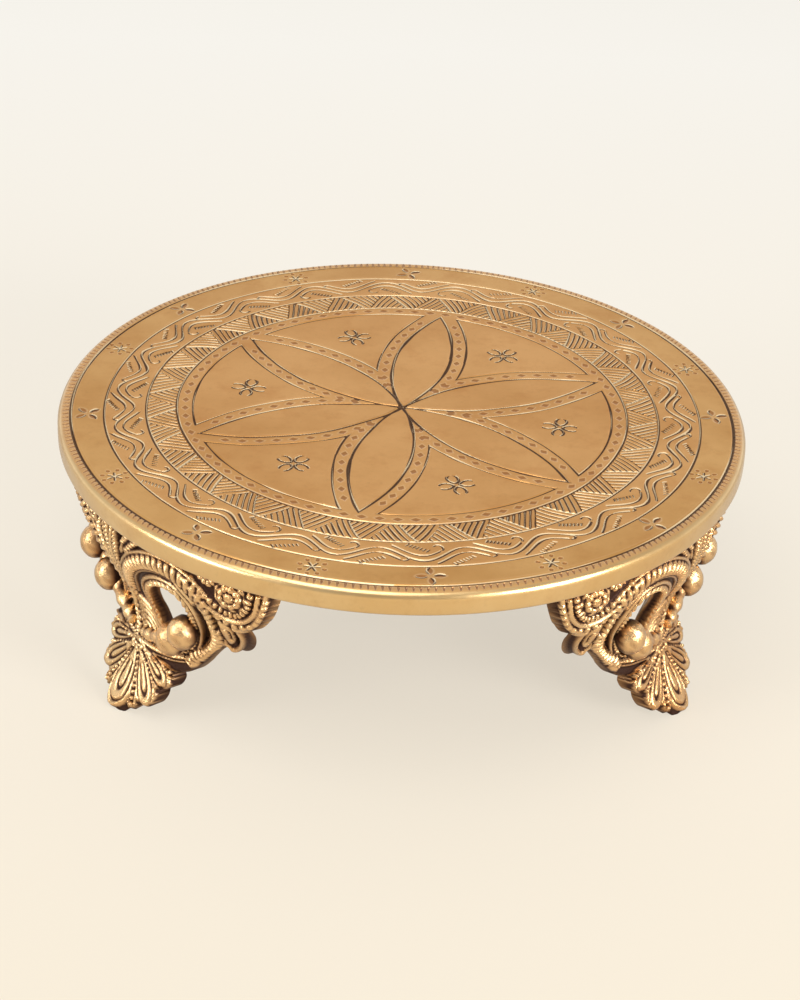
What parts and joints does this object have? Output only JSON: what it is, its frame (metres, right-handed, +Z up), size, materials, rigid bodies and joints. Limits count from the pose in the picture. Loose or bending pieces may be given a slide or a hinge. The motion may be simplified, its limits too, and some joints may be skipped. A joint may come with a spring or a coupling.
{
  "type": "low table",
  "caption": "Low round brass table: engraved disc top with a turned-down rim on openwork cast bracket legs, for serving, offerings or display on the floor.",
  "frame": {"origin": "on the ground, under the centre of the round top", "axes": "+Z up, -Y towards the pictured front, +X to its right"},
  "size_m": [0.254, 0.254, 0.093],
  "materials": {
    "plate_brass": "polished cast brass, dark patina in the engraving",
    "leg_brass": "cast brass, rubbed bright on the raised work and dark in the hollows",
    "fixing_steel": "zinc plated"
  },
  "bodies": {
    "root": {"top_plate": "plate_brass", "leg_front_right": "leg_brass", "leg_front_right_washer_a": "fixing_steel", "leg_front_right_screw_a": "fixing_steel", "leg_front_right_washer_b": "fixing_steel", "leg_front_right_screw_b": "fixing_steel", "leg_back": "leg_brass", "leg_back_washer_a": "fixing_steel", "leg_back_screw_a": "fixing_steel", "leg_back_washer_b": "fixing_steel", "leg_back_screw_b": "fixing_steel", "leg_front_left": "leg_brass", "leg_front_left_washer_a": "fixing_steel", "leg_front_left_screw_a": "fixing_steel", "leg_front_left_washer_b": "fixing_steel", "leg_front_left_screw_b": "fixing_steel"}
  },
  "joints": []
}
